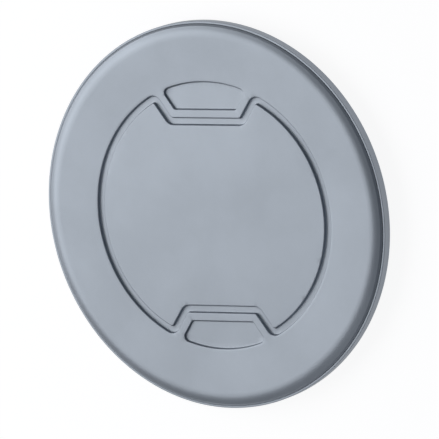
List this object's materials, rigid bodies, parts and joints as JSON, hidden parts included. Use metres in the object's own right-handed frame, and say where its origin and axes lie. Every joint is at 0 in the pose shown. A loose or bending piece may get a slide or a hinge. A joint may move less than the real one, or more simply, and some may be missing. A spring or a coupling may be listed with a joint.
{
  "type": "filter cap",
  "caption": "Round screw-in cap for a lens filter thread: a shallowly dished face plate with a channelled centre panel and shallow finger pockets, seated in a threaded rim ring.",
  "frame": {"origin": "on the axis, at the end of the threaded spigot that the cap lies on", "axes": "+Z out of the face, +Y towards one finger pocket, +X across the face"},
  "size_m": [0.0862, 0.0862, 0.0058],
  "materials": {
    "plate": "bead-blasted and anodised blue-grey, satin",
    "ring": "fine-turned and anodised blue-grey, satin"
  },
  "bodies": {
    "root": {"face_plate": "plate", "rim_ring": "ring"}
  },
  "joints": []
}
